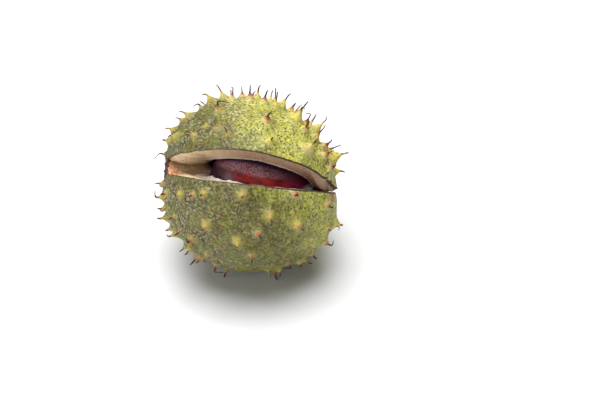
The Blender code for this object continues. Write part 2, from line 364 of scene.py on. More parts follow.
def base_of(root, tip, foot):
    """The skin's height at a spine, the height and spread of its base, and its lean."""
    root, tip = Vector(root), Vector(tip)
    stout = drying(root, foot)[1]
    skin = skin_radius(np.array(root)[None])[0] - SKIN_SINK
    length = tip.length - skin
    height = length * (BASE_HEIGHT + STOUT_HEIGHT * stout)
    spread = (BASE_SPREAD + LONG_SPREAD * length / MM) * (THIN_SHARE + STOUT_SHARE * stout) * MM
    lean = (tip - root * tip.dot(root)) * BASE_LEAN
    if foot:
        height, spread = length * FOOT_HEIGHT, FOOT_SPREAD
    return skin, height, spread, lean


# How uneven the wall is. The skin has lumps of three sizes, given as their height and
# their share of the ball's radius; on the cut faces both are in millimetres.
SKIN_LUMPS = ((0.40 * MM, 0.42), (0.36 * MM, 0.12), (0.11 * MM, 0.036))
SKIN_DEPTH, SEAM_DEPTH = 2.0 * MM, 0.8 * MM
STALK_SCAR = 2.7 * MM
SCAR_LIP, SCAR_LIP_WIDTH, SCAR_LIP_SHARE = 0.5, 0.6 * MM, 1.15
SCAR_DENT, SCAR_DENT_EDGE = 0.9, 0.25 * MM
RIM_ROUND, RIM_ROUND_WIDTH = 0.18 * MM, 0.7 * MM
BASE_CURVE, LEAN_CURVE, BASES_MERGE = 1.12, 1.5, 0.3
GRAIN_ACROSS, GRAIN_APART = 4, 7.0
FACE_DISH = 0.22
FACE_LUMPS, FIBRE_LUMPS = (0.16, 6.0), (0.07, 0.45)
RIM_LUMPS, LINING_LUMPS = (0.12, 1.1), (0.25, 2.2)
RIM_SHARE = 0.06
IN_LINING = 1.2


def shape_wall(mesh, planes, spines, seed):
    """Work the blank: true surfaces, uneven skin, a fleshy base under every spine."""
    count = len(mesh.vertices)
    flat = np.empty(count * 3)
    mesh.vertices.foreach_get("co", flat)
    co = flat.reshape(-1, 3)

    # Every point of the blank is on the skin, on a seam face or on the lining.
    turn = np.array(husk_turn)
    hollow = -np.array(apex) * HOLLOW_SHIFT
    hollow_size = np.array((HOLLOW_ACROSS, HOLLOW_ACROSS, HOLLOW_ALONG))
    fill = np.linalg.norm((co - hollow) @ turn / hollow_size, axis=1)
    radius = np.linalg.norm(co, axis=1)
    normals = np.array([tuple(n) for n, _ in planes])
    offsets = np.array([o for _, o in planes])
    gaps = co @ normals.T - offsets
    nearest_seam = gaps.argmin(axis=1)
    seam_gap = gaps.min(axis=1)
    hollow_gap = (fill - 1) * radius / np.maximum(fill, 0.01)
    which = np.abs(np.stack((BALL_RADIUS - radius, seam_gap, hollow_gap))).argmin(axis=0)
    on_skin, on_seam, on_lining = which == 0, which == 1, which == 2
    outward = co / radius[:, None]
    co[on_skin] = outward[on_skin] * BALL_RADIUS
    co[on_seam] -= seam_gap[on_seam, None] * normals[nearest_seam[on_seam]]
    co[on_lining] = hollow + (co - hollow)[on_lining] / fill[on_lining, None]

    # How far through the wall a point is: 0 at the skin, 1 at the lining.
    radius = np.linalg.norm(co, axis=1)
    outward = co / radius[:, None]
    seam_gap = np.maximum((co @ normals.T - offsets).min(axis=1), 0)
    way = outward @ turn
    start = hollow @ turn
    a = ((way / hollow_size) ** 2).sum(axis=1)
    b = -2 * (way * start / hollow_size ** 2).sum(axis=1)
    c = ((start / hollow_size) ** 2).sum() - 1
    inner = (-b + np.sqrt(np.maximum(b * b - 4 * a * c, 0))) / (2 * a)
    through = np.clip((BALL_RADIUS - radius) / (BALL_RADIUS - inner), 0, 1)
    wall = np.where(on_skin, 0.0, np.where(on_lining, IN_LINING, through))
    near_skin = np.exp(-((BALL_RADIUS - radius) / SKIN_DEPTH) ** 2)
    at_seam = np.exp(-(seam_gap / SEAM_DEPTH) ** 2)

    # The skin: the ball's own swells, then uneven at three sizes, and the stalk's scar.
    swell = skin_radius(outward) - BALL_RADIUS
    uneven = sum(
        height * lumps(outward, size, seed + n) for n, (height, size) in enumerate(SKIN_LUMPS)
    )
    stalk = np.arccos(np.clip(outward @ -np.array(apex), -1, 1)) * BALL_RADIUS
    scar = SCAR_LIP * np.exp(-((stalk - STALK_SCAR * SCAR_LIP_SHARE) / SCAR_LIP_WIDTH) ** 2)
    scar -= SCAR_DENT / (1 + np.exp((stalk - STALK_SCAR) / SCAR_DENT_EDGE))
    rise = swell * (1 - through) + (uneven + scar * MM - SKIN_SINK) * near_skin
    rise -= RIM_ROUND * near_skin * np.exp(-(seam_gap / RIM_ROUND_WIDTH) ** 2)

    # The fleshy bases, which run together where two spines stand close.
    thorn = np.zeros(count)
    ripeness = np.zeros(count)
    lean = np.zeros((count, 3))
    tent = np.zeros(count)
    for root, tip, foot in spines:
        ripe = drying(root, foot)[0]
        skin, height, spread, tilt = base_of(root, tip, foot)
        angle = np.arccos(np.clip(outward @ np.array(root), -1, 1))
        share = np.exp(-(angle * BALL_RADIUS / spread) ** BASE_CURVE) * near_skin
        lean += (share ** LEAN_CURVE)[:, None] * np.array(tilt)
        near = share * height
        tent = np.maximum(tent, near) + BASES_MERGE * np.minimum(tent, near)
        ripeness = np.where(share > thorn, ripe, ripeness)
        thorn = np.maximum(thorn, share)
    co += outward * (rise + tent)[:, None] + lean

    # The seam faces: fibres run from skin to lining, over a slightly dished and lumpy face.
    along = np.arccos(np.clip(outward @ np.array(apex), -1, 1)) * BALL_RADIUS
    grain = np.stack((along / MM, through * GRAIN_ACROSS, nearest_seam * GRAIN_APART), axis=1)
    height, size = FACE_LUMPS
    face = -FACE_DISH * np.sin(np.pi * through) + height * lumps(grain, size, seed + 3)
    height, size = FIBRE_LUMPS
    face += height * lumps(grain * (1, 0.5, 1), size, seed + 4)
    rim = np.exp(-(through / RIM_SHARE) ** 2)
    height, size = RIM_LUMPS
    face = face * (1 - rim) + rim * height * lumps(grain, size, seed + 5)
    face = np.where(on_lining, 0.0, face * at_seam)
    co -= normals[nearest_seam] * (face * MM)[:, None]
    height, size = LINING_LUMPS
    ragged = np.where(on_lining, height * lumps(co / MM, size, seed + 6), 0.0)
    co += outward * (ragged * MM)[:, None]

    co += np.array(ball_middle)
    co[:, 2] = np.maximum(co[:, 2], 0)
    mesh.vertices.foreach_set("co", co.ravel())
    values = {"thorn": thorn, "ripeness": ripeness, "wall": wall, "edge": seam_gap / MM}
    for name, value in values.items():
        layer = mesh.attributes.new(name, "FLOAT", "POINT")
        layer.data.foreach_set("value", value.astype(np.float32))
    layer = mesh.attributes.new("grain", "FLOAT_VECTOR", "POINT")
    layer.data.foreach_set("vector", grain.astype(np.float32).ravel())
    mesh.update()


# A spine's dry point. It grows in steps along a curve that starts straight and bends at
# its end. The widths are half the point's thickness, in millimetres.
TIP_STEPS = 12
TIP_BASE, STOUT_BASE = 0.21, 0.17
TIP_END, FOOT_END = 0.11, 0.16
TIP_TAPER = (0.8, 1.3)
STRAIGHT_SHARE = 0.75
POINT_SHARE = 0.6


def grow_tips(mesh, spines):
    """Draw each base out into a thin, bent, dry point."""
    bm = bmesh.new()
    bm.from_mesh(mesh)
    thorn = bm.verts.layers.float["thorn"]
    ripeness = bm.verts.layers.float["ripeness"]
    owner = bm.verts.layers.int.new("owner")
    bm.verts.ensure_lookup_table()
    places = np.array([tuple(v.co - ball_middle) for v in bm.verts])
    growing = {}
    faces = []
    for number, (root, tip, foot) in enumerate(spines, 1):
        ripe, stout, bend, draw = drying(root, foot)
        skin, height, spread, lean = base_of(root, tip, foot)
        top = root * (skin + height) + lean
        vertex = bm.verts[int(np.linalg.norm(places - np.array(top), axis=1).argmin())]
        fan = vertex.link_faces[:]
        if any(v[owner] for f in fan for v in f.verts):
            continue
        for v in {v for f in fan for v in f.verts}:
            v[owner] = number
        vertex[owner] = -number
        faces += fan
        start, end = ball_middle + top, ball_middle + tip
        vertex.co = start
        knots = (start, start.lerp(end, STRAIGHT_SHARE), end, end + bend)
        widths = (TIP_BASE + STOUT_BASE * stout, FOOT_END if foot else TIP_END)
        growing[number] = (knots, widths, ripe, draw.uniform(*TIP_TAPER))
    here = {number: knots[0] for number, (knots, *_) in growing.items()}
    for step in range(1, TIP_STEPS + 1):
        t = step / TIP_STEPS
        made = bmesh.ops.extrude_face_region(bm, geom=faces)["geom"]
        faces = [g for g in made if isinstance(g, bmesh.types.BMFace)]
        there = {}
        for number, ((p, q, r, s), *_) in growing.items():
            there[number] = (
                p * (1 - t) ** 3 + q * 3 * t * (1 - t) ** 2 + r * 3 * t * t * (1 - t) + s * t ** 3
            )
        for v in (g for g in made if isinstance(g, bmesh.types.BMVert)):
            number = abs(v[owner])
            _, (base, point), ripe, taper = growing[number]
            onward = (there[number] - here[number]).normalized()
            width = (point + (base - point) * (1 - t) ** taper) * MM
            if v[owner] < 0:
                v.co = there[number] + onward * width * POINT_SHARE
            else:
                arm = v.co - here[number]
                arm -= onward * arm.dot(onward)
                v.co = there[number] + arm.normalized() * width
            v.co.z = max(v.co.z, 0)
            v[thorn] = 1 + t
            v[ripeness] = ripe
        here = there
    bm.verts.layers.int.remove(owner)
    bm.to_mesh(mesh)
    bm.free()


def grown_valve(node, planes, seed):
    """One valve of the husk, in place of its CAD node."""
    spines = spines_of(node)
    mesh = wall_blank(planes)
    mesh.name = node + "_wall"
    shape_wall(mesh, planes, spines, seed)
    grow_tips(mesh, spines)
    mesh.shade_smooth()
    valve = bpy.data.objects.new(node + "_grown", mesh)
    bpy.context.scene.collection.objects.link(valve)
    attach(valve, "root")
    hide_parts(node)
    return valve


half_gap = SEAM_GAP / 2
upper_planes = (
    (seam_normal(0), FRONT_SEAM_RISE + half_gap),
    (seam_normal(FRONT_OPENING, FRONT_LIFT), 0.0),
    (-seam_normal(VALVE_ARC), half_gap),
    (-seam_normal(VALVE_ARC - BACK_OPENING, -BACK_LIFT), half_gap),
)
upper_valve = grown_valve("upper_valve", upper_planes, 3)


def points_of(mesh):
    """The mesh's points, and its values of wall and edge, as arrays."""
    co = np.empty(len(mesh.vertices) * 3)
    mesh.vertices.foreach_get("co", co)
    found = [co.reshape(-1, 3)]
    for name in ("wall", "edge"):
        value = np.empty(len(mesh.vertices), np.float32)
        mesh.attributes[name].data.foreach_get("value", value)
        found.append(value)
    return found


def put_points(mesh, co):
    """Move the mesh's points to new places."""
    mesh.vertices.foreach_set("co", co.ravel())
    mesh.update()


def within(values, start, full):
    """0 to 1 as values go from start to full."""
    share = np.clip((values - start) / (full - start), 0, 1)
    return share * share * (3 - 2 * share)


# The front face is vaulted: how far its inner edge and its rim stand up, in millimetres,
# by how far to the right of the ball's middle they are. At the stalk end it rests on the
# lower valve, and its rim there is frayed. From here on, a pair of numbers is the span in
# which a move fades in: millimetres to the right or from the edge, or shares of the wall.
VAULT_RIGHT = (-30, -22.8, -14.1, -11.5, -8.3, -3.2, 2.9, 9.3, 15.7, 20, 22)
VAULT_HEIGHT = (2.6, 2.6, 4.0, 3.2, 2.0, 0.9, 0.4, -0.3, 0.0, 0.4, 0.0)
VAULT_FADE = 7.0
RIM_RIGHT = (-28, -25.5, -22, -18, -12, -6, 0, 24, 27)
RIM_HEIGHT = (1.3, 0.9, 0.0, -0.65, -0.5, -0.25, 0.0, 0.0, 0.5)
RIM_FADE = 3.0
LOWER_TURN, LOWER_LIFT, LOWER_RISE = -1.35, 1.05, 0.2 * MM
REST_FADE = 2.0
WALL_RESTS, RIM_RESTS, PRESSED = (18, 24), (23, 26), (0, 5)
RESTING_WALL, RESTING_RIM = (0.02, 0.3), (0.0, 0.09)
FRAYED_EDGE, FRAYED_WALL, FRAYED_RIGHT = (1.4, 0.2), (0.14, 0.02), (19, 24)
FRAY_OUT, FRAY_LUMPS = 1.3 * MM, 0.8


def vault_face(mesh):
    """Raise the front face's inner part, and rest its stalk end on the lower valve."""
    co, wall, edge = points_of(mesh)
    away = (co - np.array(ball_middle)) / MM
    right = away[:, 0]
    front = np.array(seam_normal(FRONT_OPENING, FRONT_LIFT))
    back = np.array(seam_normal(VALVE_ARC))
    upward = front - back * (front @ back)
    upward /= np.linalg.norm(upward)
    height = np.interp(right, VAULT_RIGHT, VAULT_HEIGHT) * np.clip(wall, 0, 1)
    above = np.maximum(away @ front, 0)
    height *= np.exp(-(above / VAULT_FADE) ** 2)
    height += np.interp(right, RIM_RIGHT, RIM_HEIGHT) * np.exp(-(above / RIM_FADE) ** 2)
    co += upward * (height * MM)[:, None]
    lower = np.array(seam_normal(LOWER_TURN, LOWER_LIFT))
    gap = (co - np.array(ball_middle)) @ lower - LOWER_RISE - SEAM_GAP
    rest = within(right, *WALL_RESTS) * within(wall, *RESTING_WALL)
    rest = np.maximum(rest, within(right, *RIM_RESTS) * within(wall, *RESTING_RIM))
    gap *= np.where(gap > 0, rest, 1.0) * np.exp(-(above / REST_FADE) ** 2)
    gap = np.where(gap > 0, gap, gap * within(right, *PRESSED))
    co -= lower * gap[:, None]
    frayed = within(edge, *FRAYED_EDGE) * within(wall, *FRAYED_WALL)
    frayed = frayed * within(right, *FRAYED_RIGHT)
    tatter = FRAY_OUT * frayed * lumps(co / MM, FRAY_LUMPS, 45)
    put_points(mesh, co + (co - np.array(ball_middle)) / BALL_RADIUS * tatter[:, None])


vault_face(upper_valve.data)


# The husk's one material, from the outside in: mottled yellow-green skin with dark specks
# and grey scurf, spines that ripen from yellow to nearly black, a dried brown rim, tan
# fibrous flesh, and the white lining. Masks come from values kept on the mesh.
def add(tree, kind, inputs=(), **settings):
    """A node with its settings; an input is given as a value or as a socket to link."""
    made = tree.nodes.new(kind)
    for name, value in settings.items():
        setattr(made, name, value)
    for name, value in dict(inputs).items():
        socket = made.inputs[name]
        if isinstance(value, bpy.types.NodeSocket):
            tree.links.new(value, socket)
        else:
            socket.default_value = value
    return made


def mixed(tree, factor, first, second, blend="MIX"):
    """Two colours blended by a factor."""
    made = tree.nodes.new("ShaderNodeMix")
    made.data_type = "RGBA"
    made.blend_type = blend
    given = ((made.inputs[0], factor), (made.inputs[6], first), (made.inputs[7], second))
    for socket, value in given:
        if isinstance(value, bpy.types.NodeSocket):
            tree.links.new(value, socket)
        elif isinstance(value, tuple):
            socket.default_value = (*value, 1)
        else:
            socket.default_value = value
    return made.outputs[2]


def ranged(tree, value, low, high, to_low=0.0, to_high=1.0):
    """A value carried smoothly from one range to another."""
    made = add(tree, "ShaderNodeMapRange", {
        "Value": value, "From Min": low, "From Max": high, "To Min": to_low, "To Max": to_high,
    }, interpolation_type="SMOOTHSTEP")
    return made.outputs["Result"]


def maths(tree, operation, first, second=0.0):
    """One sum of two numbers or sockets."""
    return add(tree, "ShaderNodeMath", {0: first, 1: second}, operation=operation).outputs[0]


def group(name, inputs, outputs):
    """An empty shader group with named sockets."""
    tree = bpy.data.node_groups.new(name, "ShaderNodeTree")
    for label, kind, value in inputs:
        socket = tree.interface.new_socket(label, in_out="INPUT", socket_type=kind)
        if value is not None:
            socket.default_value = value
    for label, kind in outputs:
        tree.interface.new_socket(label, in_out="OUTPUT", socket_type=kind)
    return tree, tree.nodes.new("NodeGroupInput"), tree.nodes.new("NodeGroupOutput")


def placed(tree, made_group, inputs):
    """A group's node in a material."""
    node = tree.nodes.new("ShaderNodeGroup")
    node.node_tree = made_group
    for name, value in inputs.items():
        if isinstance(value, bpy.types.NodeSocket):
            tree.links.new(value, node.inputs[name])
        else:
            node.inputs[name].default_value = value
    return node


# Scattered round specks: how many cells to a metre, how big in a cell, what share is kept.
specks, speck_in, speck_out = group(
    "specks",
    (("Place", "NodeSocketVector", None), ("Density", "NodeSocketFloat", 700.0),
     ("Size", "NodeSocketFloat", 0.2), ("Share", "NodeSocketFloat", 0.6)),
    (("Mask", "NodeSocketFloat"),),
)
cells = add(specks, "ShaderNodeTexVoronoi", {
    "Vector": speck_in.outputs["Place"], "Scale": speck_in.outputs["Density"], "Randomness": 1.0,
})
pick = add(specks, "ShaderNodeSeparateColor", {"Color": cells.outputs["Color"]})
kept = maths(specks, "LESS_THAN", pick.outputs["Red"], speck_in.outputs["Share"])
bigness = ranged(specks, pick.outputs["Green"], 0.0, 1.0, 0.6, 1.3)
reach = maths(specks, "MULTIPLY", speck_in.outputs["Size"], bigness)
inside = maths(specks, "SUBTRACT", reach, cells.outputs["Distance"])
soft = ranged(specks, inside, 0.0, 0.09)
specks.links.new(maths(specks, "MULTIPLY", soft, kept), speck_out.inputs["Mask"])

# Cloudy patches at one size, sharpened to taste.
clouds, cloud_in, cloud_out = group(
    "clouds",
    (("Place", "NodeSocketVector", None), ("Density", "NodeSocketFloat", 100.0),
     ("Level", "NodeSocketFloat", 0.5), ("Softness", "NodeSocketFloat", 0.15)),
    (("Mask", "NodeSocketFloat"),),
)
puffs = add(clouds, "ShaderNodeTexNoise", {
    "Vector": cloud_in.outputs["Place"], "Scale": cloud_in.outputs["Density"],
    "Detail": 3.0, "Roughness": 0.6,
})
under = maths(clouds, "SUBTRACT", cloud_in.outputs["Level"], cloud_in.outputs["Softness"])
over = maths(clouds, "ADD", cloud_in.outputs["Level"], cloud_in.outputs["Softness"])
clouds.links.new(ranged(clouds, puffs.outputs["Fac"], under, over), cloud_out.inputs["Mask"])


def specks_at(tree, place, density, size, share):
    """The mask of a speck group put in a material."""
    return placed(tree, specks, {
        "Place": place, "Density": density, "Size": size, "Share": share,
    }).outputs["Mask"]


def clouds_at(tree, place, density, level, softness):
    """The mask of a cloud group put in a material."""
    return placed(tree, clouds, {
        "Place": place, "Density": density, "Level": level, "Softness": softness,
    }).outputs["Mask"]


def vectors(tree, operation, first, second, result="Vector"):
    """One sum of a vector socket and a fixed vector."""
    made = add(tree, "ShaderNodeVectorMath", {0: first, 1: tuple(second)}, operation=operation)
    return made.outputs[result]


def near_place(tree, place, where, radius, softness=0.5):
    """A soft round mask about one place."""
    gap = vectors(tree, "DISTANCE", place, where, "Value")
    return ranged(tree, gap, radius, radius * (1 - softness))


def both(tree, first, second):
    """Where two masks overlap, or one mask made weaker."""
    return maths(tree, "MULTIPLY", first, second)


def patched(tree, place, colour, patches):
    """A colour with cloudy patches of others laid over it, one after the other."""
    for density, level, softness, strength, over in patches:
        mask = both(tree, clouds_at(tree, place, density, level, softness), strength)
        colour = mixed(tree, mask, colour, over)
    return colour


def from_ball(right, back, up):
    """The place this many millimetres from the ball's middle."""
    return ball_middle + Vector((right, back, up)) * MM


YELLOW_GREEN = (0.505, 0.515, 0.078)
GREEN = (0.29, 0.32, 0.075)
OLIVE = (0.20, 0.195, 0.065)
DARK_GREEN = (0.095, 0.105, 0.030)
PALE_YELLOW = (0.63, 0.63, 0.25)
# Multipliers of the skin's colour: painted light on one side, painted shade on the other.
PAINTED_LIGHT = (1.20, 1.155, 0.91)
PAINTED_SHADE = (0.440, 0.415, 0.340)
GRAIN_DARK = (0.66, 0.66, 0.68)
GRAIN_PALE = (1.32, 1.33, 1.27)
SCURF_PALE = (0.74, 0.69, 0.46)
SCURF_DARK = (0.11, 0.080, 0.062)
COOL_GREEN = (0.38, 0.50, 0.21)
SEAM_PAINTED_SHADE = (0.66, 0.60, 0.68)
SPECK_BROWN = (0.075, 0.038, 0.022)
RUST = (0.21, 0.060, 0.028)
BASE_YELLOW = (0.62, 0.52, 0.11)
BASE_BUFF = (0.60, 0.45, 0.26)
RIPE_ORANGE = (0.40, 0.15, 0.040)
DRY_BROWN = (0.100, 0.034, 0.026)
DRY_BLACK = (0.022, 0.012, 0.014)
RIM_BROWN = (0.045, 0.024, 0.015)
TIP_MAROON = (0.20, 0.045, 0.020)
FLESH_PAINTED_LIT = (0.98, 0.86, 0.60)
FLESH_TAN = (0.41, 0.270, 0.170)
FLESH_BROWN = (0.36, 0.215, 0.12)
FLESH_REDDER_AND_PAINTED_SHADE = (0.62, 0.37, 0.20)
FLESH_RED = (0.50, 0.27, 0.19)
FLESH_PALE = (0.72, 0.61, 0.50)
LINING = (0.94, 0.91, 0.92)
LINING_PAINTED_SHADE = (0.16, 0.095, 0.065)
TORN_PALE = (0.85, 0.62, 0.38)
TORN_ORANGE = (0.66, 0.22, 0.07)
STALK_BROWN = (0.26, 0.12, 0.055)
BRUISE_ORANGE = (0.40, 0.105, 0.028)

# Patches of other colours, from broad to fine: how many to a metre, the level and softness
# of their edges, how strong they are, and their colour.
SKIN_PATCHES = (
    (150, 0.50, 0.13, 0.6, GREEN),
    (420, 0.52, 0.10, 0.55, OLIVE),
    (1300, 0.53, 0.07, 0.7, DARK_GREEN),
    (1500, 0.58, 0.05, 0.6, PALE_YELLOW),
)
FLESH_PATCHES = (
    (900, 0.58, 0.06, 0.6, FLESH_RED),
    (1700, 0.52, 0.08, 0.3, FLESH_PALE),
)
# The direction in which the skin is painted lighter, as painted light; away from it, painted
# shade.
PAINTED_LIGHT_SIDE = (1.3, 0.4821, 0.5745)

# How a spine's colour turns as it ripens, and over what part of the way to its point.
RIPENING = ((0.88, 1.10, RIPE_ORANGE), (1.06, 1.34, DRY_BROWN), (1.34, 1.85, DRY_BLACK))

# The places of single marks, their size, and how soft their edge is.
BLOTCH = (ball_middle + direction(-11, 20) * BALL_RADIUS, 12 * MM)
STALK_MARK = (ball_middle - apex * BALL_RADIUS, STALK_SCAR * 1.25, 0.25)
BRUISE = (from_ball(26.6, -9.2, 4.2), 3.6 * MM, 0.45)
REDDER_AND_PAINTED_SHADE = (from_ball(-14.5, 2.5, 2.0), 8.0 * MM, 0.7)
TORN = (ball_middle + apex * BALL_RADIUS, 8.2 * MM, 0.6)
TIP_SKIN = (from_ball(-27.0, -1.5, 7.5), 5.5 * MM, 0.4)
PAINTED_LINING_SHADE_SPOT = (from_ball(-13.2, 3.6, 7.6), 4.6 * MM, 0.4)
BROWN_TIP = (from_ball(-28.0, -1.0, 7.5), 5.0 * MM, 0.5)

husk = bpy.data.materials.new("husk_wall")
husk.use_nodes = True
tree = husk.node_tree
surface = tree.nodes["Principled BSDF"]
place = tree.nodes.new("ShaderNodeTexCoord").outputs["Object"]
across = add(tree, "ShaderNodeSeparateXYZ", {"Vector": place}).outputs["X"]
thorn, ripeness, wall, edge = (
    add(tree, "ShaderNodeAttribute", attribute_name=name).outputs["Fac"]
    for name in ("thorn", "ripeness", "wall", "edge")
)
grain = add(tree, "ShaderNodeAttribute", attribute_name="grain").outputs["Vector"]

# The skin: green and yellow patches, and pale and dark scurf on the left. Painted light and
# shade:
# the skin is painted lighter and yellower towards the upper right and darker towards the lower
# left, and more mottled where it is painted darker; painted shade also lies along the split on
# the left.
to_left = ranged(tree, across, 0.016, -0.024)
skin = patched(tree, place, YELLOW_GREEN, SKIN_PATCHES)
cool = both(tree, clouds_at(tree, place, 180, 0.56, 0.06), both(tree, to_left, 0.6))
skin = mixed(tree, cool, skin, COOL_GREEN)
scurfy = both(
    tree, clouds_at(tree, place, 200, 0.48, 0.13), ranged(tree, to_left, 0, 1, 0.24, 1.0),
)
scurf = mixed(tree, clouds_at(tree, place, 1350, 0.51, 0.05), SCURF_DARK, SCURF_PALE)
skin = mixed(tree, both(tree, scurfy, 0.82), skin, scurf)
# Painted light and shade across the skin, then finer mottle that is strongest on the
# painted-shade side.
from_middle = vectors(tree, "SUBTRACT", place, ball_middle)
painted_light_side = vectors(tree, "DOT_PRODUCT", from_middle, PAINTED_LIGHT_SIDE, "Value")
painted_light_and_shade = mixed(tree, ranged(tree, painted_light_side, -0.002, 0.022), PAINTED_SHADE, PAINTED_LIGHT)
skin = mixed(tree, 1.0, skin, painted_light_and_shade, "MULTIPLY")
mottle = mixed(tree, clouds_at(tree, place, 900, 0.50, 0.08), GRAIN_DARK, GRAIN_PALE)
skin = mixed(tree, ranged(tree, painted_light_side, 0.0, 0.022, 0.9, 0.2), skin, mottle, "MULTIPLY")
# Painted shade, purple-grey, on the skin near the split on the left.
painted_split_shade = both(tree, ranged(tree, edge, 5.5, 1.0), both(tree, to_left, 0.75))
skin = mixed(tree, painted_split_shade, skin, SEAM_PAINTED_SHADE, "MULTIPLY")

# Specks of three kinds, the rusty ones most of all in a blotch in front.
green_dots = specks_at(tree, place, 1000, 0.33, 0.85)
skin = mixed(tree, both(tree, green_dots, 0.95), skin, DARK_GREEN)
dark_dots = specks_at(tree, place, 680, 0.21, 0.55)
skin = mixed(tree, both(tree, dark_dots, 0.85), skin, SPECK_BROWN)
in_blotch = ranged(tree, near_place(tree, place, *BLOTCH), 0, 1, 0.5, 1)
rust_dots = both(tree, specks_at(tree, place, 700, 0.27, 0.85), in_blotch)
skin = mixed(tree, both(tree, rust_dots, 0.85), skin, RUST)

# The spines ripen from the point down, from yellow or buff bases.
ripe = maths(tree, "ADD", thorn, ranged(tree, ripeness, 0.0, 1.0, -0.30, 0.42))
buff_patch = clouds_at(tree, place, 240, 0.58, 0.06)
buff = maths(tree, "ADD", buff_patch, ranged(tree, ripeness, 0.6, 0.9))
base = mixed(tree, ranged(tree, buff, 0.0, 1.0, 0.0, 0.8), BASE_YELLOW, BASE_BUFF)
base = mixed(tree, both(tree, green_dots, 0.5), base, DARK_GREEN)
# The spine bases take part of the painted light and shade.
base = mixed(tree, 0.55, base, painted_light_and_shade, "MULTIPLY")
skin = mixed(tree, ranged(tree, thorn, 0.16, 0.70, 0.0, 0.85), skin, base)
for start, full, turned in RIPENING:
    skin = mixed(tree, ranged(tree, ripe, start, full), skin, turned)

# The stalk's scar, corky and orange-brown, and an orange bruise at the end of the split.
skin = mixed(tree, both(tree, near_place(tree, place, *STALK_MARK), 0.9), skin, STALK_BROWN)
bruise = both(tree, near_place(tree, place, *BRUISE), clouds_at(tree, place, 600, 0.40, 0.1))
skin = mixed(tree, bruise, skin, BRUISE_ORANGE)

# The cut wall: tan flesh with fibres from skin to lining, painted lighter towards the apex end as
# painted light, redder and darker in the recess at the apex end, partly its own tone and partly
# painted shade, torn into shreds at the apex, then the white lining with painted shade on its
# upper part at the apex end.
fibres = add(tree, "ShaderNodeTexNoise", {
    "Vector": vectors(tree, "MULTIPLY", grain, (1.3, 0.35, 1.0)),
    "Scale": 1.0, "Detail": 3.0, "Roughness": 0.6,
}).outputs["Fac"]
to_stalk = add(tree, "ShaderNodeSeparateXYZ", {"Vector": grain}).outputs["X"]
# Painted light: the flesh is paler towards the apex end and tan towards the stalk.
flesh_painted_light = mixed(tree, ranged(tree, to_stalk, 14, 38), FLESH_PAINTED_LIT, FLESH_TAN)
flesh = mixed(tree, ranged(tree, fibres, 0.40, 0.64, 0.0, 0.5), flesh_painted_light, FLESH_BROWN)
flesh = patched(tree, place, flesh, FLESH_PATCHES)
# Darker, redder flesh in the recess at the apex end: partly its own tone, partly painted shade.
flesh = mixed(tree, both(tree, near_place(tree, place, *REDDER_AND_PAINTED_SHADE), 0.7), flesh, FLESH_REDDER_AND_PAINTED_SHADE)
torn = both(tree, near_place(tree, place, *TORN), ranged(tree, wall, 0.55, 0.30))
shreds = mixed(tree, clouds_at(tree, place, 1300, 0.50, 0.07), TORN_PALE, TORN_ORANGE)
flesh = mixed(tree, torn, flesh, shreds)
tip_skin = both(tree, near_place(tree, place, *TIP_SKIN), ranged(tree, wall, 0.13, 0.07))
tip_colour = mixed(tree, clouds_at(tree, place, 700, 0.50, 0.08), TIP_MAROON, RIM_BROWN)
flesh = mixed(tree, tip_skin, flesh, tip_colour)
lining = patched(tree, place, LINING, ((420, 0.55, 0.1, 0.5, FLESH_PALE),))
# Painted shade: brown on the upper part of the lining at the apex end.
lining = mixed(tree, both(tree, near_place(tree, place, *PAINTED_LINING_SHADE_SPOT), 0.9), lining, LINING_PAINTED_SHADE)
flesh = mixed(tree, ranged(tree, wall, 0.86, 0.99), flesh, lining)

# The rim between skin and flesh has dried brown, more so towards the right.
to_right = ranged(tree, across, -0.020, 0.016)
dried = both(tree, clouds_at(tree, place, 500, 0.46, 0.12), 0.5)
dried = maths(tree, "ADD", dried, both(tree, to_right, 0.5))
dried_edge = ranged(tree, maths(tree, "SUBTRACT", edge, both(tree, dried, 0.42)), 0.22, 0.05)
rim_strength = ranged(tree, to_right, 0.0, 0.9, 0.30, 0.95)
colour = mixed(tree, both(tree, dried_edge, rim_strength), skin, RIM_BROWN)
brown_tip = both(tree, near_place(tree, place, *BROWN_TIP), ranged(tree, edge, 2.6, 1.6))
colour = mixed(tree, brown_tip, colour, RIM_BROWN)
rim_line = both(tree, ranged(tree, wall, 0.004, 0.02), rim_strength)
colour = mixed(tree, rim_line, colour, RIM_BROWN)
ragged_edge = maths(tree, "ADD", wall, both(tree, maths(tree, "SUBTRACT", fibres, 0.5), 0.12))
colour = mixed(tree, ranged(tree, ragged_edge, 0.02, 0.055), colour, flesh)
tree.links.new(colour, surface.inputs["Base Color"])
surface.inputs["Roughness"].default_value = 0.60
surface.inputs["Specular IOR Level"].default_value = 0.35
relief = add(tree, "ShaderNodeTexNoise", {"Vector": place, "Scale": 2600, "Detail": 3.0})
height = maths(tree, "SUBTRACT", relief.outputs["Fac"], maths(tree, "MULTIPLY", dark_dots, 0.5))
bump = add(tree, "ShaderNodeBump", {"Height": height, "Strength": 0.5, "Distance": 0.00012})
tree.links.new(bump.outputs["Normal"], surface.inputs["Normal"])
upper_valve.data.materials.append(husk)


